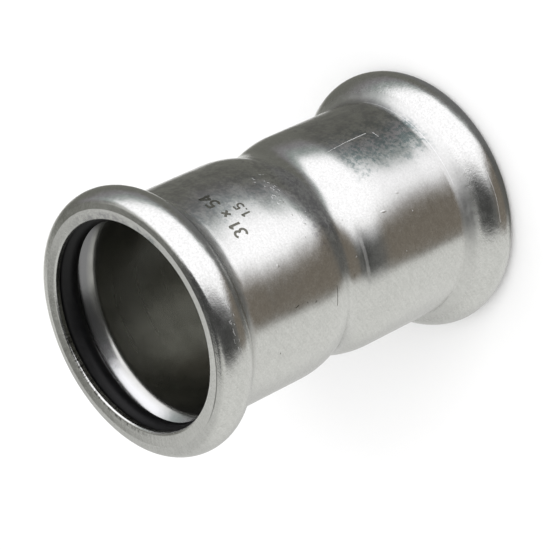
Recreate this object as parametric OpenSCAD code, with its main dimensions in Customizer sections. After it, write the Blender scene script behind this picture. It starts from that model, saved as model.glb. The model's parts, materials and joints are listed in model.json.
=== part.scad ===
// Straight press coupling for metal pipe: one formed steel tube with an O-ring in the bead at each end.
// The tube stands on its end: its axis is Z, and the origin is the middle of the lower end.

/* [Pipe] */
// Outside diameter of the pipe that goes in
pipe_d = 28; // [26:0.5:32]
// Free space between the pipe and the socket wall, all round
pipe_clear = 0.15; // [0.1:0.05:0.3]
// How far each pipe goes in before the waist stops it
insert_depth = 22.5; // [21:0.5:28]
// Length between the ends of the two pipes
stop_gap = 9; // [8:0.5:12]

/* [Tube] */
// Wall of the steel tube
wall = 1.5; // [1.2:0.1:1.8]
// How far the waist is pressed in below the sleeve
waist_depth = 1.15; // [0.9:0.05:1.4]
// Outside radius of the bend where the sleeve turns down into the waist
waist_shoulder_r = 12; // [9:0.5:13]

/* [Bead] */
// How far the bead stands out from the sleeve
bead_rise = 2.92; // [2.72:0.05:3.12]
// Outside radius of the bead's section
bead_r = 3.75; // [3.55:0.05:4.2]
// Outside radius of the bend between the sleeve and the bead
bead_root_r = 2.4; // [1.8:0.1:3]
// Outside radius of the roll at the front of the bead
roll_r = 1.2; // [1:0.05:1.4]
// Direction in which the bead gives way to the roll, in degrees forward of straight out
roll_turn = 34; // [30:1:38]
// Slope of the bead's front from the roll up to the ridge of the lip, in degrees
face_turn = 8; // [5:1:12]
// Turn of the straight flank behind the O-ring away from the socket wall, in degrees
flank_turn = 42; // [40:1:45]
// Radius of the bend where the flank meets the socket wall
flank_foot_r = 0.6; // [0.4:0.1:0.9]

/* [Lip] */
// Free space between the pipe and the mouth, all round
mouth_clear = 0.95; // [0.7:0.05:1.1]
// Width of the faced lip, from the mouth to its ridge
lip_w = 1.5; // [1.2:0.05:1.7]
// How far the lip falls from its ridge to the mouth
lip_fall = 0.25; // [0.15:0.05:0.35]
// Thickness of the lip at the mouth
lip_t = 0.85; // [0.7:0.05:0.95]
// Radius of the rounded edge around the mouth
lip_edge_r = 0.35; // [0.2:0.05:0.45]

/* [Seal] */
// Free space between the pipe and the O-ring before the bead is pressed
seal_pipe_gap = 0.05; // [0.02:0.01:0.15]
// Free space between the O-ring and the crown of the groove
seal_clear = 0.2; // [0.15:0.01:0.3]
// Free space between the O-ring and the flank that it rests on
seal_seat = 0.02; // [0.01:0.01:0.05]
// Free space between the O-ring and the lip
seal_lip_gap = 0.15; // [0.1:0.01:0.2]

/* [Hidden] */
$fn = 96;

length = 2 * insert_depth + stop_gap;
half = length / 2;

// Radii of the socket, the sleeve around it, the mouth and the lip's ridge, which is the foremost point
pipe_r = pipe_d / 2;
bore_r = pipe_r + pipe_clear;
sleeve_r = bore_r + wall;
mouth_r = pipe_r + mouth_clear;
ridge_r = mouth_r + lip_w;

// The shoulder begins where its inside has closed in on the pipe's end by the pipe's clearance.
// The shoulder and the hollow turn by the same angle, so that the sleeve runs straight on both sides.
shoulder_in_r = waist_shoulder_r - wall;
waist_half = stop_gap / 2 + sqrt(pow(shoulder_in_r, 2) - pow(shoulder_in_r - pipe_clear, 2));
waist_turn = 2 * atan(waist_depth / waist_half);
waist_hollow_r = waist_half / sin(waist_turn) - waist_shoulder_r;
shoulder_centre = [sleeve_r - waist_shoulder_r, waist_half];
hollow_centre = [sleeve_r - waist_depth + waist_hollow_r, 0];

// The roll touches the bead from inside, and the bead's front runs from it straight up to the ridge
bead_axis_r = sleeve_r + bead_rise - bead_r;
roll_reach = bead_r - roll_r;
roll_axis_r = bead_axis_r + roll_reach * cos(roll_turn);
roll_drop = (roll_r + (roll_axis_r - ridge_r) * sin(face_turn)) / cos(face_turn);
roll_centre = [roll_axis_r, half - roll_drop];
bead_centre = [bead_axis_r, roll_centre.y - roll_reach * sin(roll_turn)];

// The root bend is tangent to the sleeve and to the bead
root_drop = bead_root_r + bead_r - bead_rise;
root_run = sqrt(pow(bead_r + bead_root_r, 2) - pow(root_drop, 2));
root_centre = [sleeve_r + bead_root_r, bead_centre.y - root_run];
root_turn = atan2(root_run, root_drop);

// The lip falls from the ridge to the rounded edge of the mouth, and its back closes the groove
groove_r = bead_r - wall;
lip_turn = atan(lip_fall / lip_w);
lip_back = half - lip_fall - lip_t;
lip_edge_drop = (lip_w - lip_edge_r) * tan(lip_turn) + lip_edge_r / cos(lip_turn);
lip_edge = [mouth_r + lip_edge_r, half - lip_edge_drop];
lip_meets_groove = asin((lip_back - bead_centre.y) / groove_r);

// The O-ring fills the space from the crown of the groove to the pipe, just behind the lip
seal_out_r = bead_axis_r + groove_r - seal_clear;
seal_in_r = pipe_r + seal_pipe_gap;
seal_d = seal_out_r - seal_in_r;
seal_centre = [seal_in_r + seal_d / 2, lip_back - seal_lip_gap - seal_d / 2];

// The flank runs straight past the O-ring, from the groove down to a small bend at the socket wall
flank_along = [sin(flank_turn), cos(flank_turn)];
flank_across = [cos(flank_turn), -sin(flank_turn)];
flank_seat = seal_centre + (seal_d / 2 + seal_seat) * flank_across;
seat_offset = flank_seat - bead_centre;
seat_along = seat_offset * flank_along;
flank_rise = sqrt(pow(seat_along, 2) - seat_offset * seat_offset + pow(groove_r, 2)) - seat_along;
groove_end = seat_offset + flank_rise * flank_along;
flank_meets_groove = atan2(groove_end.y, groove_end.x);
flank_fall = (flank_seat.x + flank_foot_r * flank_across.x - bore_r - flank_foot_r) / flank_along.x;
flank_foot = flank_seat + flank_foot_r * flank_across - flank_fall * flank_along;

// Points of an arc about a centre, from one angle to another, in steps of about six degrees
function arc(centre, r, from, to) =
    let (steps = max(2, ceil(abs(to - from) / 6)))
    [for (i = [0:steps]) let (a = from + (to - from) * i / steps) centre + r * [cos(a), sin(a)]];

// The same points, without the second of two that fall together where bends meet
function distinct(points) =
    [for (i = [0:len(points) - 1]) if (i == 0 || norm(points[i] - points[i - 1]) > 0.001) points[i]];

// Outside of the upper half, from the waist to the front of the roll
function outside() = concat(
    arc(hollow_centre, waist_hollow_r, 180, 180 - waist_turn),
    arc(shoulder_centre, waist_shoulder_r, -waist_turn, 0),
    arc(root_centre, bead_root_r, 180, 180 - root_turn),
    arc(bead_centre, bead_r, -root_turn, roll_turn),
    arc(roll_centre, roll_r, roll_turn, 90 - face_turn));

// The lip's ridge, the rounded edge of the mouth and the lip's back
function lip() = concat(
    [[ridge_r, half]],
    arc(lip_edge, lip_edge_r, 90 + lip_turn, 180),
    [[mouth_r, lip_back]]);

// Inside of the upper half, from the groove over the flank to the socket, then one wall in from the outside
function inside() = concat(
    arc(bead_centre, groove_r, lip_meets_groove, flank_meets_groove),
    arc(flank_foot, flank_foot_r, 180 - flank_turn, 180),
    arc(shoulder_centre, shoulder_in_r, 0, -waist_turn),
    arc(hollow_centre, waist_hollow_r + wall, 180 - waist_turn, 180));

// Section of the whole tube: the upper half's outline, then its mirror image run backwards
module tube_section() {
    upper = distinct(concat(outside(), lip(), inside()));
    lower = [for (i = [len(upper) - 2:-1:1]) [upper[i].x, -upper[i].y]];
    polygon(concat(upper, lower));
}

module coupling_body() {
    color([0.68, 0.68, 0.66])
        translate([0, 0, half])
            rotate_extrude()
                tube_section();
}

// O-ring in a bead, with its middle at a height above the middle of the tube
module seal_ring(height) {
    color([0.05, 0.05, 0.05])
        translate([0, 0, half + height])
            rotate_extrude()
                translate([seal_centre.x, 0])
                    circle(d = seal_d);
}

module seal_ring_upper() {
    seal_ring(seal_centre.y);
}

module seal_ring_lower() {
    seal_ring(-seal_centre.y);
}

coupling_body();
seal_ring_upper();
seal_ring_lower();
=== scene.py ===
"""A straight press coupling for 28 mm pipe, stood on its end: formed steel tube and two rubber O-rings."""

import json
import math
from math import pi
from types import SimpleNamespace

import bpy
import numpy as np
from mathutils import Matrix, Vector

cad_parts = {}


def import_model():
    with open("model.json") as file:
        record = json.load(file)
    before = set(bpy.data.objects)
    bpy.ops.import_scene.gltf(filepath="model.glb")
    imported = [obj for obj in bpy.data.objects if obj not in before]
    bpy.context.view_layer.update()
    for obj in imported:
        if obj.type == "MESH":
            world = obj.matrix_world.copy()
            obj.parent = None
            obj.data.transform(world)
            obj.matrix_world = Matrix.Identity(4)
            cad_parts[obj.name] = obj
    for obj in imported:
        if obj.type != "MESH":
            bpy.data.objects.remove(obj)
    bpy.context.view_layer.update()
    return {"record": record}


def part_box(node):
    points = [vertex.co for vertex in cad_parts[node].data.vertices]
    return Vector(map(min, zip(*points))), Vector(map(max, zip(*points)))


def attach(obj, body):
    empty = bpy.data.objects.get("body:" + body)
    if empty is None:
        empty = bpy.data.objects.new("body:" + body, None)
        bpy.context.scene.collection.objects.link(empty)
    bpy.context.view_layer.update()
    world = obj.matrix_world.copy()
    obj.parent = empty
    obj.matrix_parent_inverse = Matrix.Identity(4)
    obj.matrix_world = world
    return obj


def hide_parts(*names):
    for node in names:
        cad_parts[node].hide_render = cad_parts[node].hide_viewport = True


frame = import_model()

MM = 0.001
BODY = "coupling_body"
RINGS = ("seal_ring_upper", "seal_ring_lower")

# Sizes in millimetres that the frame gives
low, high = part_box(BODY)
HALF = (high.z - low.z) / 2 / MM
CREST_R = (high.x - low.x) / 2 / MM
BORE_R = frame["record"]["mounts"][0]["dims"]["r_mm"]
low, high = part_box(RINGS[0])
SEAL_R = (high.z - low.z) / 2 / MM
SEAL_CENTRE = ((high.x - low.x) / 2 / MM - SEAL_R, (low.z + high.z) / 2 / MM - HALF)

# The tube's other sizes in millimetres, which repeat the solid's
WALL = 1.5
SLEEVE_R = BORE_R + WALL
WAIST_DEPTH = 1.15
WAIST_HALF = 6.27
SHOULDER_R = 12.0
BEAD_R = 3.75
ROOT_R = 2.4
ROLL_R = 1.2
ROLL_TURN = math.radians(34)
FACE_TURN = math.radians(8)
FLANK_TURN = math.radians(42)
MOUTH_R = 14.95
LIP_W = 1.5
LIP_FALL = 0.25
LIP_T = 0.85
LIP_EDGE_R = 0.35
SEAL_SEAT = 0.02

# Edges that are softer than the solid's
RIDGE_EDGE_R = 0.25
LIP_BACK_R = 0.08
FLANK_FOOT_R = 1.6

# The mouth is a little out of round (mm): all round, then once in a turn from X and Y, then twice in a turn
MOUTH_UNEVEN = (-0.08, 0.21, 0.05, -0.20, 0.06)
# How far outside the ridge, and behind the lip's back, that begins
UNEVEN_BEYOND = 0.2
UNEVEN_BEHIND = 0.05

# Steps between the section's points: along bends in radians, along straight runs in millimetres
BEND_STEP = 0.06
SHOULDER_STEP = 0.04
ROOT_STEP = 0.08
TIGHT_STEP = 0.12
EDGE_STEP = 0.25
SLEEVE_STEP = 0.6
FLANK_STEP = 0.3
BORE_STEP = 0.8
# Points around the tube and the O-rings, and around an O-ring's section
AROUND = 256
AROUND_SEAL = 48


# Points of the section

def arc(centre, radius, start, end, step=BEND_STEP):
    """Points of an arc in the section's plane, from one angle to another, with its ends."""
    count = max(2, math.ceil(abs(end - start) / step))
    angles = [start + (end - start) * i / count for i in range(count + 1)]
    return [(centre[0] + radius * math.cos(a), centre[1] + radius * math.sin(a)) for a in angles]


def straight(start, end, step):
    """Points between two ends, without them."""
    count = max(1, math.ceil(math.dist(start, end) / step))
    return [
        (start[0] + (end[0] - start[0]) * i / count, start[1] + (end[1] - start[1]) * i / count)
        for i in range(1, count)
    ]


def rounded(corner, before, after, radius):
    """An arc that rounds a corner between two neighbouring points."""
    corner, before, after = (np.array(p, float) for p in (corner, before, after))
    u = (before - corner) / np.linalg.norm(before - corner)
    v = (after - corner) / np.linalg.norm(after - corner)
    half_angle = math.acos(np.clip(u @ v, -1, 1)) / 2
    reach = radius / math.tan(half_angle)
    middle = corner + (u + v) / np.linalg.norm(u + v) * radius / math.sin(half_angle)
    first = corner + u * reach - middle
    last = corner + v * reach - middle
    start = math.atan2(first[1], first[0])
    swing = math.atan2(first[0] * last[1] - first[1] * last[0], first @ last)
    return arc(tuple(middle), radius, start, start + swing, EDGE_STEP)


def distinct(points, gap=1e-4):
    """The points without those that repeat the one before."""
    kept = [points[0]]
    for point in points[1:]:
        if math.dist(point, kept[-1]) > gap:
            kept.append(point)
    return kept


def supported(points, gap=0.03, ratio=2.5):
    """Adds points at the ends of stretches that meet much shorter ones, so that flats stay flat there."""
    lengths = [math.dist(start, end) for start, end in zip(points, points[1:])]
    kept = [points[0]]
    for k, length in enumerate(lengths):
        neighbours = (lengths[max(k - 1, 0)], lengths[min(k + 1, len(lengths) - 1)])
        for other, share in zip(neighbours, (gap / length, 1 - gap / length)):
            if length > ratio * other:
                kept.append(tuple(s + (e - s) * share for s, e in zip(points[k], points[k + 1])))
        kept.append(points[k + 1])
    return kept


# The tube: centres and turns of its bends, as (radius, height above the middle)

waist_turn = 2 * math.atan(WAIST_DEPTH / WAIST_HALF)
hollow_r = WAIST_HALF / math.sin(waist_turn) - SHOULDER_R
hollow = (SLEEVE_R - WAIST_DEPTH + hollow_r, 0)
shoulder = (SLEEVE_R - SHOULDER_R, WAIST_HALF)
ridge = (MOUTH_R + LIP_W, HALF)
roll_r = CREST_R - BEAD_R + (BEAD_R - ROLL_R) * math.cos(ROLL_TURN)
roll_drop = (ROLL_R + (roll_r - ridge[0]) * math.sin(FACE_TURN)) / math.cos(FACE_TURN)
roll = (roll_r, HALF - roll_drop)
bead = (CREST_R - BEAD_R, roll[1] - (BEAD_R - ROLL_R) * math.sin(ROLL_TURN))
root_drop = SLEEVE_R + ROOT_R - bead[0]
root_run = math.sqrt((BEAD_R + ROOT_R) ** 2 - root_drop**2)
root = (SLEEVE_R + ROOT_R, bead[1] - root_run)
root_turn = math.atan2(root_run, root_drop)
lip_back = HALF - LIP_FALL - LIP_T
groove_r = BEAD_R - WALL


def outside():
    """The upper half's outside, from the waist to the roll."""
    return (
        arc(hollow, hollow_r, pi, pi - waist_turn)
        + arc(shoulder, SHOULDER_R, -waist_turn, 0, SHOULDER_STEP)
        + straight((SLEEVE_R, WAIST_HALF), (SLEEVE_R, root[1]), SLEEVE_STEP)
        + arc(root, ROOT_R, pi, pi - root_turn, ROOT_STEP)
        + arc(bead, BEAD_R, -root_turn, ROLL_TURN)
        + arc(roll, ROLL_R, ROLL_TURN, pi / 2 - FACE_TURN, TIGHT_STEP)
    )


def lip(before, after):
    """The faced lip between the bead's front and the groove, with a ridge and a rounded mouth."""
    edge = (MOUTH_R, HALF - LIP_FALL)
    back = (MOUTH_R, lip_back)
    return (
        rounded(ridge, before, edge, RIDGE_EDGE_R)
        + rounded(edge, ridge, back, LIP_EDGE_R)
        + rounded(back, edge, after, LIP_BACK_R)
    )


def inside():
    """The upper half's inside, from the groove over the flank to the waist."""
    along = np.array((math.sin(FLANK_TURN), math.cos(FLANK_TURN)))
    across = np.array((math.cos(FLANK_TURN), -math.sin(FLANK_TURN)))
    seat = np.array(SEAL_CENTRE) + (SEAL_R + SEAL_SEAT) * across
    off = seat - np.array(bead)
    rise = math.sqrt((off @ along) ** 2 - off @ off + groove_r**2) - off @ along
    top = off + rise * along
    fall = (seat[0] + FLANK_FOOT_R * across[0] - BORE_R - FLANK_FOOT_R) / along[0]
    foot = seat + FLANK_FOOT_R * across - fall * along
    meets_lip = math.asin((lip_back - bead[1]) / groove_r)
    groove = arc(bead, groove_r, meets_lip, math.atan2(top[1], top[0]), TIGHT_STEP)
    bend = arc(tuple(foot), FLANK_FOOT_R, pi - FLANK_TURN, pi, TIGHT_STEP)
    return (
        groove
        + straight(groove[-1], bend[0], FLANK_STEP)
        + bend
        + straight(bend[-1], (BORE_R, WAIST_HALF), BORE_STEP)
        + arc(shoulder, SHOULDER_R - WALL, 0, -waist_turn)
        + arc(hollow, hollow_r + WALL, pi - waist_turn, pi)
    )


# Meshes

def turned(radius, height, angle):
    """Points by distance from the axis, height above the middle (mm) and angle from the camera's side."""
    radius, height, angle = np.broadcast_arrays(radius, height, angle)
    return np.stack([radius * np.sin(angle), -radius * np.cos(angle), height + HALF], -1) * MM


def full_turn(count):
    """Angles evenly round a circle."""
    return np.arange(count) * 2 * pi / count


def grid_mesh(name, points, close_rows=True):
    """A mesh from rows of points, closed round the columns and, if asked, from the last row to the first."""
    rows, columns = points.shape[:2]
    row = np.arange(rows if close_rows else rows - 1)[:, None] * columns
    next_row = (row + columns) % (rows * columns)
    column = np.arange(columns)
    next_column = (column + 1) % columns
    corners = (row + column, row + next_column, next_row + next_column, next_row + column)
    mesh = bpy.data.meshes.new(name)
    mesh.from_pydata(points.reshape(-1, 3).tolist(), [], np.stack(corners, -1).reshape(-1, 4).tolist())
    mesh.update()
    return mesh


def mouth_uneven(angle):
    """How far the mouth's edge lies off its circle."""
    even, x1, y1, x2, y2 = MOUTH_UNEVEN
    # Angles run from the camera's side, and the shares are given from X
    a = angle - pi / 2
    return even + x1 * np.cos(a) + y1 * np.sin(a) + x2 * np.cos(2 * a) + y2 * np.sin(2 * a)


def lip_share(radius, height):
    """How much of the mouth's unevenness a point takes: none outside the lip, all of it at the mouth."""
    share = np.clip((ridge[0] + UNEVEN_BEYOND - radius) / (LIP_W + UNEVEN_BEYOND), 0, 1)
    return share * (np.abs(height) > lip_back - UNEVEN_BEHIND)


def tube_mesh():
    """The whole tube, turned about Z, with the length along its section kept at each point."""
    outer, inner = outside(), inside()
    upper = supported(distinct(outer + lip(outer[-1], inner[0]) + inner))
    outline = np.array(upper + [(r, -h) for r, h in upper[-2:0:-1]])
    radius, height = outline[:, 0, None], outline[:, 1, None]
    angle = full_turn(AROUND)
    radius = radius + lip_share(radius, height) * mouth_uneven(angle)
    mesh = grid_mesh("coupling_tube", turned(radius, height, angle))
    steps = np.linalg.norm(np.diff(outline, axis=0), axis=1)
    run = np.concatenate([[0], np.cumsum(steps)])
    attribute = mesh.attributes.new("run", "FLOAT", "POINT")
    attribute.data.foreach_set("value", np.repeat(run, AROUND).astype(np.float32))
    # The inside, which begins at the lip's back, takes the second material
    first_inside = min(range(len(upper)), key=lambda k: math.dist(upper[k], (MOUTH_R, lip_back)))
    row = np.repeat(np.arange(len(outline)), AROUND)
    within = (row >= first_inside) & (row < 2 * (len(upper) - 1) - first_inside)
    mesh.polygons.foreach_set("material_index", within.astype(np.int32))
    return mesh


def ring_mesh(node):
    """An O-ring in a CAD ring's place."""
    low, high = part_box(node)
    middle = (low.z + high.z) / 2 / MM - HALF
    turn = full_turn(AROUND_SEAL)[:, None]
    radius = SEAL_CENTRE[0] + SEAL_R * np.cos(turn)
    height = middle + SEAL_R * np.sin(turn)
    return grid_mesh(node + "_form", turned(radius, height, full_turn(AROUND)))


def new_object(name, mesh, *materials):
    """Adds a smooth-shaded mesh to the scene."""
    piece = bpy.data.objects.new(name, mesh)
    bpy.context.scene.collection.objects.link(piece)
    for material in materials:
        mesh.materials.append(material)
    mesh.polygons.foreach_set("use_smooth", np.ones(len(mesh.polygons), bool))
    return piece


# Marks on the outside, placed by angle from the camera's side (degrees) and height above the middle (mm)

MM_PER_DEGREE = math.radians(SLEEVE_R)
# How far strips stand off the skin, how deep a ding's rim lies in it, and the step along a strip
SCRATCH_LIFT = 0.006
MARK_LIFT = 0.008
DING_SINK = 0.004
STRIP_STEP = 0.15
# Points along each side of a ding, and how steeply it rises
DING_POINTS = 15
DING_POWER = 1.5

# Bright scratches and one painted highlight along the far bead's root, then dark ones, as (width, path);
# dings as (angle, height, length, width, rise, heading)
BRIGHT = (
    (0.06, ((39.5, -5.3), (40.5, -9.4))),
    (0.11, ((40.5, -9.4), (40.5, -12.9))),
    (0.09, ((39.2, -13.85), (35.3, -13.95))),
    (0.10, ((32.6, -1.0), (27.0, -1.0))),
    (0.12, ((-6.4, -11.4), (-7.2, -11.4))),
    (0.10, ((-23.4, -8.5), (-24.2, -8.6))),
    (0.10, ((-16.2, -0.8), (-16.8, -0.6))),
    (0.07, ((-27.0, -23.7), (-12.0, -23.75), (-4.0, -23.6))),
    # Painted highlight: a thin bright line along the far bead's root bend
    (0.05, ((66.0, -19.7), (30.0, -19.75), (-4.0, -19.7))),
)
DARK = (
    (0.10, ((-24.3, 4.4), (-29.0, 4.5), (-34.4, 4.75))),
    (0.12, ((-24.6, 11.4), (-25.2, 12.1))),
    (0.12, ((-25.0, 9.9), (-25.7, 9.9))),
    (0.10, ((-26.5, 8.3), (-27.3, 8.6))),
    (0.12, ((-44.6, 15.0), (-45.4, 15.1))),
)
DINGS = (
    (4.4, -10.2, 0.8, 0.45, 0.02, 70),
    (-1.2, -6.7, 1.2, 0.4, 0.025, 80),
    (4.3, -0.7, 0.6, 0.4, 0.02, 30),
    (9.5, 5.9, 0.7, 0.4, 0.02, 60),
    (-3.0, 12.8, 0.6, 0.4, 0.02, 20),
)
# Short strokes as (count, width, angles, heights, heading, half lengths): bright ones along the waist's edge
# and on the near bead, then dark ones
BRIGHT_SCUFFS = (
    (8, 0.08, (8, 16), (4.5, 6.0), 0.2, (0.07, 0.2)),
    (12, 0.07, (24, 36), (5.2, 7.6), 0.1, (0.06, 0.18)),
    (8, 0.07, (37, 45), (4.9, 7.6), 0.7, (0.06, 0.18)),
    (12, 0.05, (-27, -6), (24.2, 25.2), 0.0, (0.1, 0.35)),
)
DARK_SCUFFS = (
    (10, 0.07, (2, 34), (4.8, 6.8), 0.3, (0.05, 0.12)),
)
SCUFF_SEED = 5
SCUFF_SCATTER = 0.15


def on_skin(angle, height, lift):
    """Points on the outside, lifted off it."""
    radii, heights = zip(*outside())
    radius = np.interp(np.abs(height), heights, radii)
    return turned(radius + lift, height, np.radians(angle))


class Patches:
    """Small patches of surface, gathered into one mesh."""

    def __init__(self):
        self.points, self.faces = [], []

    def add(self, grid):
        """Adds a grid of points, open on all sides."""
        rows, columns = grid.shape[:2]
        first = len(self.points)
        self.points += grid.reshape(-1, 3).tolist()
        for row in range(rows - 1):
            for column in range(columns - 1):
                k = first + row * columns + column
                self.faces.append((k, k + 1, k + columns + 1, k + columns))

    def ribbon(self, path, width, lift):
        """Adds a flat strip along a path of (angle, height) points."""
        flat = np.array(path, float) * (MM_PER_DEGREE, 1)
        length = np.concatenate([[0], np.cumsum(np.linalg.norm(np.diff(flat, axis=0), axis=1))])
        at = np.linspace(0, length[-1], max(3, int(length[-1] / STRIP_STEP)))
        flat = np.stack([np.interp(at, length, flat[:, k]) for k in (0, 1)], 1)
        ahead = np.gradient(flat, axis=0)
        ahead /= np.linalg.norm(ahead, axis=1)[:, None]
        side = np.stack([-ahead[:, 1], ahead[:, 0]], 1)
        rows = np.stack([flat + side * width / 2, flat - side * width / 2], 1)
        self.add(on_skin(rows[..., 0] / MM_PER_DEGREE, rows[..., 1], lift))

    def ding(self, angle, height, length, width, rise, heading):
        """Adds a smooth oval bump whose rim lies just under the skin."""
        t = np.linspace(-1, 1, DING_POINTS)
        u, v = np.meshgrid(t, t)
        c, s = math.cos(math.radians(heading)), math.sin(math.radians(heading))
        x, y = u * length / 2, v * width / 2
        lift = rise * (np.clip(1 - u**2, 0, 1) * np.clip(1 - v**2, 0, 1)) ** DING_POWER - DING_SINK
        across, up = x * c - y * s, x * s + y * c
        self.add(on_skin(angle + across / MM_PER_DEGREE, height + up, lift))

    def mesh(self, name):
        """All the patches as a mesh."""
        mesh = bpy.data.meshes.new(name)
        mesh.from_pydata(self.points, [], self.faces)
        mesh.update()
        return mesh


def scuffs(rows):
    """Short strokes, strewn by chance."""
    rng = np.random.default_rng(SCUFF_SEED)
    paths = []
    for count, width, angles, heights, slant, reaches in rows:
        for _ in range(count):
            angle, height = rng.uniform(*angles), rng.uniform(*heights)
            heading, reach = rng.normal(slant, SCUFF_SCATTER), rng.uniform(*reaches)
            across = reach * math.cos(heading) / MM_PER_DEGREE
            up = reach * math.sin(heading)
            paths.append((width, ((angle - across, height - up), (angle + across, height + up))))
    return tuple(paths)


def scratches(name, paths):
    """Thin strips along scratches, and along a painted highlight line."""
    patches = Patches()
    for width, path in paths:
        patches.ribbon(path, width, SCRATCH_LIFT)
    return patches.mesh(name)


def dings():
    """Small bruises from handling."""
    patches = Patches()
    for place in DINGS:
        patches.ding(*place)
    return patches.mesh("dings")


# A plain size mark: each character as its width and its strokes, lines and arcs in a box one high

GLYPH_STEP = 0.3
GLYPH_GAP = 0.14
GLYPHS = {
    "1": (0.45, [[(0.05, 0.78), (0.3, 1.0), (0.3, 0.0)]]),
    "3": (0.62, [
        arc((0.28, 0.75), 0.25, 2.6, -1.4, GLYPH_STEP) + arc((0.28, 0.27), 0.28, 1.4, -2.6, GLYPH_STEP),
    ]),
    "4": (0.62, [[(0.45, 0.0), (0.45, 1.0), (0.02, 0.3), (0.6, 0.3)]]),
    "5": (0.62, [
        [(0.55, 1.0), (0.12, 1.0), (0.08, 0.55)] + arc((0.28, 0.32), 0.3, 2.2, -2.5, GLYPH_STEP),
    ]),
    "x": (0.55, [[(0.05, 0.08), (0.5, 0.62)], [(0.05, 0.62), (0.5, 0.08)]]),
    ".": (0.25, [[(0.1, 0.0), (0.1, 0.13)]]),
    " ": (0.4, []),
}
# The sleeve's outside and the length, then the wall, as (text, angle, height, size, stroke)
SIZE_MARK = (
    ("31 x 54", 16.5, 14.4, 1.8, 0.36),
    ("1.5", 25.0, 11.9, 1.4, 0.28),
)


def write(patches, text, angle, height, size, stroke):
    """Writes plain characters round the tube, from an angle on, standing on a height."""
    start = 0.0
    for character in text:
        width, strokes = GLYPHS[character]
        for points in strokes:
            path = [(angle + (start + x) * size / MM_PER_DEGREE, height + y * size) for x, y in points]
            patches.ribbon(path, stroke, MARK_LIFT)
        start += width + GLYPH_GAP


def size_mark():
    """The sizes in plain numbers."""
    patches = Patches()
    for line in SIZE_MARK:
        write(patches, *line)
    return patches.mesh("size_mark")


# Materials: colours, in pairs where a finish varies from one to the other

STEEL_TINTS = ((0.46, 0.463, 0.445), (0.635, 0.638, 0.618))
# Painted shade that dims the far sleeve's highlight
FAR_HIGHLIGHT_SHADE_TINT = (0.36, 0.36, 0.35)
SMOKE_TINT = (0.27, 0.265, 0.275)
TARNISH_TINT = (0.16, 0.205, 0.20)
# Dark specks at the mouth, and painted shade as a dark line along part of the ridge
SPECK_AND_RIDGE_SHADE_TINT = (0.12, 0.12, 0.11)
# Painted shade: the bore's colours, darker than the outside's for the shade in the hollow
BORE_SHADED_TINTS = ((0.38, 0.38, 0.35), (0.45, 0.45, 0.42))
# Painted shade: the flank's colour at one side, then the darker colour towards +X
FLANK_LIT_AND_SHADED_TINTS = ((0.52, 0.525, 0.52), (0.21, 0.21, 0.215))
# Fresh metal in scratches, also the colour of the painted highlight along the far bead's root
SCRATCH_AND_HIGHLIGHT_TINT = (0.75, 0.75, 0.74)
ETCH_TINTS = ((0.09, 0.09, 0.075), (0.15, 0.145, 0.125))
RUBBER_TINTS = ((0.003, 0.003, 0.0034), (0.006, 0.006, 0.0066))

# Wiping lines on the sleeves: their slant, length and width in millimetres
HATCH_TURN = math.radians(35)
HATCH_LENGTH = 3.0
HATCH_WIDTH = 0.3
# Tool chatter on the lips: how fine it is round the lip and across it
CHATTER_ROUND = 34.0
CHATTER_ACROSS = 0.4
# A dull line across part of the waist, as a height
WAIST_LINE = HALF - 2.0

# The colour sockets of a mix node, by number, because several of its sockets share a name
MIX_A, MIX_B, MIX_RESULT = 6, 7, 2


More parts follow.
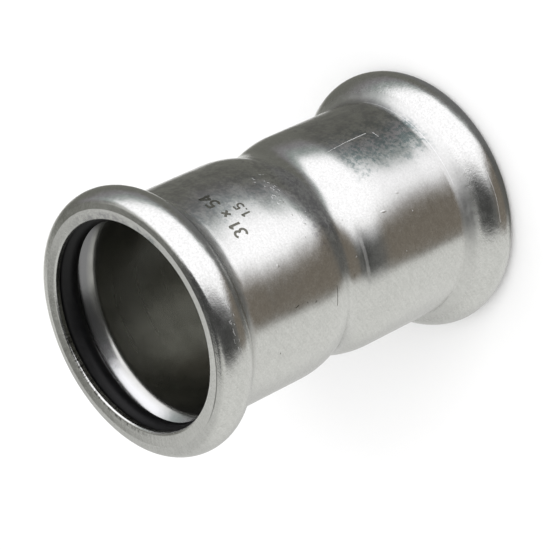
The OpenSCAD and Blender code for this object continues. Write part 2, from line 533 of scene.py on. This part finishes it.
class Nodes:
    """Short ways to add and link shader nodes."""

    def __init__(self, name):
        self.material = bpy.data.materials.new(name)
        self.material.use_nodes = True
        self.tree = self.material.node_tree
        self.shader = self.tree.nodes["Principled BSDF"]

    def add(self, kind, **settings):
        """Adds a node with its settings."""
        node = self.tree.nodes.new("ShaderNode" + kind)
        for key, value in settings.items():
            setattr(node, key, value)
        return node

    def put(self, value, socket):
        """Links an output to a socket, or sets a value on it."""
        if isinstance(value, bpy.types.NodeSocket):
            self.tree.links.new(value, socket)
        else:
            socket.default_value = value

    def surface(self, **inputs):
        """Sets the surface shader's inputs, named with underscores for spaces."""
        for key, value in inputs.items():
            self.put(value, self.shader.inputs[key.replace("_", " ")])

    def math(self, operation, a, b=0.0):
        """A sum, product or like of one or two values."""
        node = self.add("Math", operation=operation)
        self.put(a, node.inputs[0])
        self.put(b, node.inputs[1])
        return node.outputs[0]

    def total(self, *parts):
        """A sum of (value, weight) pairs."""
        result = None
        for value, weight in parts:
            part = self.math("MULTIPLY", value, weight)
            result = part if result is None else self.math("ADD", result, part)
        return result

    def product(self, *values):
        """The values multiplied together."""
        result = values[0]
        for value in values[1:]:
            result = self.math("MULTIPLY", result, value)
        return result

    def place(self):
        """The place on the part in millimetres."""
        node = self.add("VectorMath", operation="SCALE")
        self.put(self.add("TexCoord").outputs["Object"], node.inputs[0])
        node.inputs["Scale"].default_value = 1 / MM
        return node.outputs[0]

    def split(self, vector):
        """The three parts of a vector."""
        node = self.add("SeparateXYZ")
        self.put(vector, node.inputs[0])
        return node.outputs["X"], node.outputs["Y"], node.outputs["Z"]

    def join(self, x, y, z):
        """A vector from three parts."""
        node = self.add("CombineXYZ")
        for value, socket in zip((x, y, z), node.inputs):
            self.put(value, socket)
        return node.outputs[0]

    def noise(self, vector, scale=1.0, detail=2.0, roughness=0.5):
        """Soft random values around a half."""
        node = self.add("TexNoise")
        self.put(vector, node.inputs["Vector"])
        node.inputs["Scale"].default_value = scale
        node.inputs["Detail"].default_value = detail
        node.inputs["Roughness"].default_value = roughness
        return node.outputs["Fac"]

    def spread(self, value, from_low, from_high, to_low=0.0, to_high=1.0, way="LINEAR"):
        """Maps one range of a value onto another, and keeps it inside."""
        node = self.add("MapRange", clamp=True, interpolation_type=way)
        numbers = (value, from_low, from_high, to_low, to_high)
        for key, number in zip(("Value", "From Min", "From Max", "To Min", "To Max"), numbers):
            self.put(number, node.inputs[key])
        return node.outputs["Result"]

    def mix(self, share, a, b):
        """A colour between two others."""
        node = self.add("Mix", data_type="RGBA")
        self.put(share, node.inputs["Factor"])
        for colour, number in ((a, MIX_A), (b, MIX_B)):
            linked = isinstance(colour, bpy.types.NodeSocket)
            self.put(colour if linked else (*colour, 1), node.inputs[number])
        return node.outputs[MIX_RESULT]

    def bump(self, height, strength=1.0):
        """A normal from a height in millimetres."""
        node = self.add("Bump")
        node.inputs["Strength"].default_value = strength
        node.inputs["Distance"].default_value = MM
        self.put(height, node.inputs["Height"])
        return node.outputs[0]


def whereabouts(n):
    """Where a point lies on the tube, in millimetres: its place, and the measures that the finish follows."""
    place = n.place()
    x, y, z = n.split(place)
    radius = n.math("SQRT", n.math("ADD", n.math("MULTIPLY", x, x), n.math("MULTIPLY", y, y)))
    height = n.math("ABSOLUTE", n.math("SUBTRACT", z, HALF))
    run = n.add("Attribute", attribute_name="run").outputs["Fac"]
    return SimpleNamespace(place=place, x=x, y=y, z=z, radius=radius, height=height, run=run)


def zone(n, at, **edges):
    """1 on a part of the tube and 0 off it: each edge names a measure, where it is 0 and where it is 1."""
    return n.product(*(n.spread(getattr(at, measure), *limits) for measure, limits in edges.items()))


def band(n, value, first, last):
    """1 between two soft edges, each given as where it is 0 and where it is 1."""
    return n.product(n.spread(value, *first), n.spread(value, *last))


def streaks(n, at, length, width):
    """Noise drawn out round the tube."""
    parts = [n.math("MULTIPLY", value, 1 / length) for value in (at.x, at.y)]
    return n.noise(n.join(*parts, n.math("MULTIPLY", at.run, 1 / width)), detail=3.0, roughness=0.6)


def hatching(n, at):
    """Faint slanting lines, as wiping leaves them."""
    angle = n.math("ARCTAN2", at.x, n.math("MULTIPLY", at.y, -1.0))
    round_tube = n.math("MULTIPLY", angle, SLEEVE_R)
    c, s = math.cos(HATCH_TURN), math.sin(HATCH_TURN)
    along = n.total((round_tube, c / HATCH_LENGTH), (at.z, s / HATCH_LENGTH))
    across = n.total((round_tube, -s / HATCH_WIDTH), (at.z, c / HATCH_WIDTH))
    return n.noise(n.join(along, across, 0.0))


def lip_marks(n, at):
    """On the faced lips: tool chatter, dark specks at the mouth, and a dark line of painted shade along part
    of the ridge.
    """
    on_lip = zone(n, at, height=(lip_back, lip_back + 0.3), radius=(ridge[0], MOUTH_R + 0.4))
    turn = [n.math("MULTIPLY", n.math("DIVIDE", value, at.radius), CHATTER_ROUND) for value in (at.x, at.y)]
    drift = n.math("MULTIPLY", at.radius, CHATTER_ACROSS)
    chatter = n.noise(n.join(*turn, drift), roughness=0.6)
    off_ridge = n.math("ABSOLUTE", n.math("SUBTRACT", at.radius, ridge[0]))
    # Painted shade: a dark line along the ridge on part of its round
    shaded_ridge_part = zone(n, at, height=(HALF - 0.4, HALF - 0.2), x=(-3.0, -6.0), y=(-6.5, -10.0))
    line = n.product(n.spread(off_ridge, 0.13, 0.05), shaded_ridge_part)
    at_mouth = band(n, at.radius, (MOUTH_R, MOUTH_R + 0.1), (MOUTH_R + 0.5, MOUTH_R + 0.3))
    behind = zone(n, at, x=(5.0, 2.0), y=(6.0, 10.0))
    specks = n.product(n.spread(chatter, 0.51, 0.58), at_mouth, behind, on_lip)
    return on_lip, chatter, n.math("MAXIMUM", line, specks)


def rough_bands(n, at):
    """Where the rolls left the steel duller: at the foot of each bead, and a short line across the waist."""
    at_foot = band(n, at.height, (18.9, 19.7), (21.4, 20.6))
    off_line = n.math("ABSOLUTE", n.math("SUBTRACT", at.z, WAIST_LINE))
    line = n.product(n.spread(off_line, 0.3, 0.1), band(n, at.x, (0.0, -2.5), (-9.0, -6.5)))
    return n.math("MAXIMUM", n.product(at_foot, 0.85), line)


def stains(n, at, on_sleeve):
    """Speckled tarnish beside the sleeves' highlights, and smoky blotches further round and in the waist."""
    on_side = n.product(on_sleeve, zone(n, at, y=(4.0, -2.0)))
    blotch = n.noise(at.place, scale=0.55, detail=3.0, roughness=0.6)
    specks = n.noise(at.place, scale=1.7, detail=3.0, roughness=0.65)
    speckle = n.spread(n.total((blotch, 0.4), (specks, 0.6)), 0.46, 0.56)
    smoke = n.spread(n.total((blotch, 0.6), (specks, 0.4)), 0.42, 0.58)
    # The tarnish has a ragged edge, and on the near sleeve it begins further round and is fainter
    near = zone(n, at, z=(HALF - 3.0, HALF + 3.0))
    ragged = n.total((at.x, 1.0), (blotch, 7.0), (specks, 5.0), (near, -1.8))
    beside = n.product(n.spread(ragged, 10.5, 13.5), zone(n, at, x=(12.5, 9.0)), on_side)
    tarnish = n.product(speckle, beside, n.spread(near, 0.0, 1.0, 1.0, 0.5))
    further_round = n.product(zone(n, at, x=(6.5, 9.5)), on_side)
    in_waist = n.product(
        band(n, at.z, (HALF + 0.5, HALF + 1.5), (HALF + 6.0, HALF + 4.5)),
        zone(n, at, x=(-3.0, 0.0)),
    )
    smoky = n.math("MAXIMUM", n.product(smoke, further_round), n.product(speckle, in_waist))
    return tarnish, smoky


def steel_form(n, at):
    """Slow relief: soft runs into the waist and the beads, an uneven waist and a slight wave."""
    into_waist = n.spread(at.height, 3.5, 10.5, way="SMOOTHSTEP")
    into_bead = n.spread(at.height, 15.5, 21.0, way="SMOOTHSTEP")
    uneven = n.spread(at.z, HALF - 2.5, HALF + 2.5, way="SMOOTHSTEP")
    wave = n.noise(at.place, scale=0.21, detail=1.0)
    return n.total((wave, 0.06), (into_waist, 0.2), (into_bead, 0.18), (uneven, 0.2))


def steel():
    """The outside: drawn and rolled steel, satin, with fine lines round the tube, grain and tarnish."""
    n = Nodes("satin_steel")
    at = whereabouts(n)
    on_bead = zone(n, at, radius=(15.7, 16.6))
    on_sleeve = zone(n, at, height=(5.0, 7.0), radius=(16.1, 15.7))
    on_lip, chatter, specks_and_ridge_shade = lip_marks(n, at)
    tarnish, smoky = stains(n, at, on_sleeve)
    # Painted shade: the far sleeve's colour is darkened where its highlight falls, which dims that highlight
    far_highlight_shade = n.product(zone(n, at, z=(HALF - 6.0, HALF - 9.0), x=(-4.0, 1.0)), on_sleeve)
    hatch = n.product(hatching(n, at), zone(n, at, x=(-3.0, -8.0)))
    lines = streaks(n, at, length=20.0, width=0.25)
    rolled = streaks(n, at, length=5.0, width=0.45)
    mottle = n.noise(at.place, scale=1.1, detail=3.0, roughness=0.55)
    grain = n.noise(at.place, scale=3.6, roughness=0.7)

    shade = n.total((grain, 0.26), (mottle, 0.12), (lines, 0.06), (hatch, 0.13))
    tint = n.mix(n.spread(shade, 0.15, 0.34), *STEEL_TINTS)
    layers = (
        (far_highlight_shade, 0.3, FAR_HIGHLIGHT_SHADE_TINT),
        (smoky, 0.65, SMOKE_TINT),
        (tarnish, 0.85, TARNISH_TINT),
        (specks_and_ridge_shade, 0.75, SPECK_AND_RIDGE_SHADE_TINT),
    )
    for share, strength, colour in layers:
        tint = n.mix(n.product(share, strength), tint, colour)
    n.surface(Base_Color=tint, Metallic=1.0)

    satin = n.spread(mottle, 0.3, 0.7, 0.16, 0.24)
    duller = n.total((on_bead, 0.02), (tarnish, 0.06), (on_lip, 0.04), (rough_bands(n, at), 0.2))
    n.surface(Roughness=n.math("ADD", satin, duller))

    rolling = n.total((rolled, 0.008), (mottle, 0.012), (grain, 0.009))
    fine = n.total((mottle, 0.004), (lines, 0.0014), (grain, 0.0026))
    placed = n.total((n.product(rolling, on_bead), 1.0), (n.product(chatter, on_lip), 0.014))
    relief = n.math("ADD", n.math("ADD", steel_form(n, at), fine), placed)
    n.surface(Normal=n.bump(relief))
    return n.material


def bore_steel_with_painted_shade():
    """The inside: the same steel with faint drawing lines and a smoother flank, its colour darkened as
    painted shade in the hollow, and the flank's colour painted darker towards +X as shade.
    """
    n = Nodes("bore_steel_with_painted_shade")
    at = whereabouts(n)
    on_flank = zone(n, at, radius=(BORE_R + 0.02, BORE_R + 0.8))
    lines = streaks(n, at, length=20.0, width=0.5)
    mottle = n.noise(at.place, scale=0.5)
    # Painted shade: the bore's colour is kept darker than the outside's for the shade inside the tube
    bore = n.mix(n.spread(mottle, 0.35, 0.65), *BORE_SHADED_TINTS)
    # Painted shade: the flank's colour goes darker towards +X
    flank = n.mix(zone(n, at, x=(-1.0, 8.0)), *FLANK_LIT_AND_SHADED_TINTS)
    n.surface(Base_Color=n.mix(on_flank, bore, flank), Metallic=1.0)
    n.surface(Roughness=n.total((n.spread(lines, 0.3, 0.7, 0.26, 0.275), 1.0), (on_flank, -0.05)))
    n.surface(Normal=n.bump(n.product(mottle, 0.02)))
    return n.material


def bright_scratch():
    """Fresh metal in a scratch, and the painted highlight along the far bead's root."""
    n = Nodes("scratched_steel_and_painted_highlight")
    n.surface(Base_Color=(*SCRATCH_AND_HIGHLIGHT_TINT, 1), Metallic=1.0, Roughness=0.55)
    return n.material


def etched():
    """Steel darkened by marking."""
    n = Nodes("etched_steel")
    n.surface(Base_Color=n.mix(n.noise(n.place(), scale=6.0), *ETCH_TINTS), Metallic=1.0, Roughness=0.3)
    return n.material


def rubber():
    """Black moulded rubber with a soft sheen."""
    n = Nodes("seal_rubber")
    place = n.place()
    dust = n.noise(place, scale=1.1, detail=4.0, roughness=0.6)
    n.surface(Base_Color=n.mix(n.spread(dust, 0.45, 0.75), *RUBBER_TINTS))
    n.surface(Roughness=n.spread(dust, 0.3, 0.7, 0.42, 0.52), Specular_IOR_Level=0.22)
    n.surface(Normal=n.bump(n.noise(place, scale=6.0, detail=3.0), strength=0.004))
    return n.material


# The studio: a light tent with a softbox and dark cards, which only reflections see

TENT_R = 0.18
TENT_STEP = 3
TENT_LEVEL = (0.94, 0.94, 0.92)
# Edges as (elevation, angle around the part) in degrees, from low to high
CARD_LEFT = ((-62, -69), (-45, -58), (-32, -51), (-12, -50), (10, -54), (40, -60), (60, -64))
SOFTBOX_LEFT = ((-58, 14), (-48, 7), (-38, 3), (-30, -3), (-15, -11), (5, -4), (30, 0), (60, -2))
SOFTBOX_RIGHT = ((-50, 20), (-37, 41), (-32, 54), (-28, 68), (-12, 78), (5, 88), (30, 106))
ROOM_LEFT = ((-70, 20), (-43, 50), (-24, 78), (0, 108), (30, 116))
ROOM_RIGHT = ((10, 155), (28, 166), (36, 173))


def upright(around):
    """An edge at one angle."""
    return ((0, around),)


def rim(by):
    """The softbox's right edge, turned further round."""
    return tuple((up, around + by) for up, around in SOFTBOX_RIGHT)


# Each patch of the tent: its two side edges, its lowest and highest elevation, the softness of the left,
# right and end edges, its level and its tint
TENT_PATCHES = (
    # far side of the table
    (upright(-185), upright(-128), (-91, 50), (30, 40, 20), 0.68, (1.0, 1.0, 0.98)),
    # open room overhead
    (upright(-181), upright(-20), (60, 91), (1, 30, 20), 0.7, (1.0, 1.0, 0.96)),
    (upright(5), upright(125), (66, 91), (30, 20, 20), 0.85, (1.0, 1.0, 0.98)),
    # bright backdrop at the right rim
    (upright(150), upright(181), (-50, 10), (6, 1, 16), 1.2, (1.0, 1.0, 0.98)),
    # dark room on the right and behind, overhead
    (ROOM_LEFT, ROOM_RIGHT, (-91, 46), (14, 10, 14), 0.225, (1.0, 1.0, 0.90)),
    (upright(138), upright(190), (46, 91), (36, 1, 8), 0.22, (1.0, 1.0, 0.93)),
    (upright(-190), upright(-171), (48, 91), (1, 10, 8), 0.3, (1.0, 1.0, 0.93)),
    # dark table around the part's foot
    (upright(-181), upright(181), (-91, -66), (1, 1, 12), 0.15, (1.0, 1.0, 0.94)),
    (upright(-30), upright(181), (-91, -51), (30, 1, 8), 0.23, (0.99, 0.99, 1.0)),
    # violet, then bluish rim of the softbox
    (rim(12), rim(34), (-50, 40), (16, 16, 14), 0.35, (1.03, 0.97, 1.05)),
    (rim(-12), rim(18), (-50, 40), (16, 12, 14), 0.45, (0.90, 1.03, 0.99)),
    # dark card beside the camera, browner below
    (CARD_LEFT, SOFTBOX_LEFT, (38, 91), (12, 12, 20), 0.17, (1.0, 1.0, 0.98)),
    (CARD_LEFT, SOFTBOX_LEFT, (-91, 46), (12, 12, 14), 0.08, (1.0, 1.0, 0.98)),
    (CARD_LEFT, SOFTBOX_LEFT, (-91, -8), (12, 12, 14), 0.17, (1.0, 1.0, 0.97)),
    (CARD_LEFT, SOFTBOX_LEFT, (-60, -25), (12, 12, 10), 0.235, (1.14, 1.0, 0.84)),
    # softbox
    (SOFTBOX_LEFT, SOFTBOX_RIGHT, (-52, 74), (34, 20, 12), 1.9, (1.01, 1.0, 1.04)),
)
# A small dark card over the mouth, as rows of (left, right, Y, height above the middle) in millimetres
FLAG_ROWS = (
    (-17, -6, -27, 27.5),
    (-17, 0, -28, 40),
    (-17, 6, -26, 50),
    (-17, 12, -18, 55),
    (-17, 6, 10, 55),
)
FLAG_LEVEL = 0.07

# Light on what isn't mirrored: an even light from all round, and one soft lamp (metres, watts)
EVEN_LIGHT = 0.95
KEY_PLACE = (0.25, -0.6, 0.75)
KEY_AIM = (0, 0, 0.02)
KEY_SIZE = 0.6
KEY_POWER = 3
FLOOR_SIZE = 6

# The photograph's view, in which the tube's axis points down and to the left (radians, metres)
VIEW_ELEVATION = math.radians(37.05)
VIEW_ROLL = math.radians(-115.53)
VIEW_DISTANCE = 0.36424
VIEW_OFF_CENTRE = (0.00075, 0.00226)
CLIP_START = 0.005
LENS_MM = 177.3
SENSOR_MM = 36


def soft_step(value, edge, softness):
    """Rises from 0 to 1 across an edge."""
    t = np.clip((value - edge) / softness + 0.5, 0, 1)
    return t * t * (3 - 2 * t)


def tent_colour(around, up):
    """What the tent shows in a direction, in degrees around the part and up from the floor."""
    colour = np.zeros(around.shape + (3,)) + TENT_LEVEL
    for left, right, (lowest, highest), (soft_left, soft_right, soft_end), level, tint in TENT_PATCHES:
        left_edge = np.interp(up, *zip(*left))
        right_edge = np.interp(up, *zip(*right))
        share = soft_step(around, left_edge, soft_left) * (1 - soft_step(around, right_edge, soft_right))
        share = share * soft_step(up, lowest, soft_end) * (1 - soft_step(up, highest, soft_end))
        colour += share[..., None] * (level * np.array(tint) - colour)
    return colour


def glowing(n, colour):
    """Makes a material give light of its own."""
    light = n.add("Emission")
    n.put(colour, light.inputs["Color"])
    n.put(light.outputs[0], n.tree.nodes["Material Output"].inputs["Surface"])


def only_reflected(piece):
    """Stages a piece that only reflections see."""
    for ray in ("camera", "diffuse", "transmission", "volume_scatter", "shadow"):
        setattr(piece, "visible_" + ray, False)


def tent():
    """A dome of light round the part, hidden from the camera and from matt surfaces."""
    around, up = np.meshgrid(np.arange(-180, 180, TENT_STEP), np.arange(-90, 90 + TENT_STEP, TENT_STEP))
    a, u = np.radians(around), np.radians(up)
    points = TENT_R * np.stack([np.cos(u) * np.sin(a), -np.cos(u) * np.cos(a), np.sin(u)], -1)
    points[..., 2] += HALF * MM
    mesh = grid_mesh("tent", points, close_rows=False)
    glow = mesh.attributes.new("glow", "FLOAT_COLOR", "POINT")
    colour = np.concatenate([tent_colour(around, up), np.ones(a.shape + (1,))], -1)
    glow.data.foreach_set("color", colour.astype(np.float32).ravel())
    n = Nodes("tent_light")
    glowing(n, n.add("Attribute", attribute_name="glow").outputs["Color"])
    only_reflected(new_object("tent", mesh, n.material))


def flag():
    """The dark card over the mouth."""
    card = Patches()
    card.add(np.array([[(x, y, z + HALF) for x in (left, right)] for left, right, y, z in FLAG_ROWS]) * MM)
    n = Nodes("flag_dark")
    glowing(n, (FLAG_LEVEL, FLAG_LEVEL, FLAG_LEVEL, 1))
    only_reflected(new_object("flag", card.mesh("flag"), n.material))


def floor():
    """A plain white floor that takes the part's shadow."""
    bpy.ops.mesh.primitive_plane_add(size=FLOOR_SIZE)
    plane = bpy.context.active_object
    plane.name = "floor"
    n = Nodes("floor_white")
    n.surface(Base_Color=(1, 1, 1, 1), Roughness=1.0, Specular_IOR_Level=0.0)
    plane.data.materials.append(n.material)
    plane.visible_glossy = False


def world():
    """White to the camera and to reflections, and an even soft light on everything."""
    scene = bpy.context.scene
    scene.world = bpy.data.worlds.new("studio")
    scene.world.use_nodes = True
    tree = scene.world.node_tree
    background = tree.nodes["Background"]
    background.inputs["Color"].default_value = (1, 1, 1, 1)
    path = tree.nodes.new("ShaderNodeLightPath")
    seen = path.outputs["Is Camera Ray"]
    for ray in ("Is Glossy Ray", "Is Transmission Ray"):
        either = tree.nodes.new("ShaderNodeMath")
        either.operation = "ADD"
        either.use_clamp = True
        tree.links.new(seen, either.inputs[0])
        tree.links.new(path.outputs[ray], either.inputs[1])
        seen = either.outputs[0]
    level = tree.nodes.new("ShaderNodeMapRange")
    level.inputs["To Min"].default_value = EVEN_LIGHT
    level.inputs["To Max"].default_value = 1.0
    tree.links.new(seen, level.inputs["Value"])
    tree.links.new(level.outputs[0], background.inputs["Strength"])


def key_lamp():
    """A square soft lamp, kept out of the picture and out of reflections, which the tent gives."""
    data = bpy.data.lights.new("key", "AREA")
    data.size = KEY_SIZE
    data.energy = KEY_POWER
    piece = bpy.data.objects.new("key", data)
    piece.location = KEY_PLACE
    piece.rotation_euler = (Vector(KEY_AIM) - Vector(KEY_PLACE)).to_track_quat("-Z", "Y").to_euler()
    piece.visible_camera = False
    piece.visible_glossy = False
    bpy.context.scene.collection.objects.link(piece)


def camera():
    """The photograph's view."""
    data = bpy.data.cameras.new("camera")
    data.sensor_width = SENSOR_MM
    data.lens = LENS_MM
    data.clip_start = CLIP_START
    piece = bpy.data.objects.new("camera", data)
    bpy.context.scene.collection.objects.link(piece)
    side = Vector((1, 0, 0))
    rise = Vector((0, math.sin(VIEW_ELEVATION), math.cos(VIEW_ELEVATION)))
    back = Vector((0, -math.cos(VIEW_ELEVATION), math.sin(VIEW_ELEVATION)))
    right = math.cos(VIEW_ROLL) * side + math.sin(VIEW_ROLL) * rise
    up = math.cos(VIEW_ROLL) * rise - math.sin(VIEW_ROLL) * side
    place = Vector((0, 0, HALF * MM)) + back * VIEW_DISTANCE
    place -= right * VIEW_OFF_CENTRE[0] + up * VIEW_OFF_CENTRE[1]
    piece.matrix_world = Matrix.Translation(place) @ Matrix((right, up, back)).transposed().to_4x4()
    bpy.context.scene.camera = piece


# Build

steel_finish = steel()
tube = new_object("coupling_tube", tube_mesh(), steel_finish, bore_steel_with_painted_shade())
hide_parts(BODY)
pieces = {"steel": [tube], "seal": []}
dark_finish = etched()
# The bright strips hold a painted highlight along the far bead's root, besides scratches and scuffs
bright_paths = BRIGHT + scuffs(BRIGHT_SCUFFS)
dark_paths = DARK + scuffs(DARK_SCUFFS)
pieces["steel"] += [
    new_object("bright_scratches_and_root_highlight", scratches("bright_scratches_and_root_highlight", bright_paths), bright_scratch()),
    new_object("dark_scratches", scratches("dark_scratches", dark_paths), dark_finish),
    new_object("dings", dings(), steel_finish),
    new_object("size_mark", size_mark(), dark_finish),
]
rubber_finish = rubber()
for node in RINGS:
    ring = new_object(node + "_form", ring_mesh(node), rubber_finish)
    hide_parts(node)
    pieces["seal"].append(ring)
for slot, members in pieces.items():
    for piece in members:
        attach(piece, "root")

tent()
flag()
floor()
world()
key_lamp()
camera()
bpy.context.scene.view_settings.view_transform = "Standard"
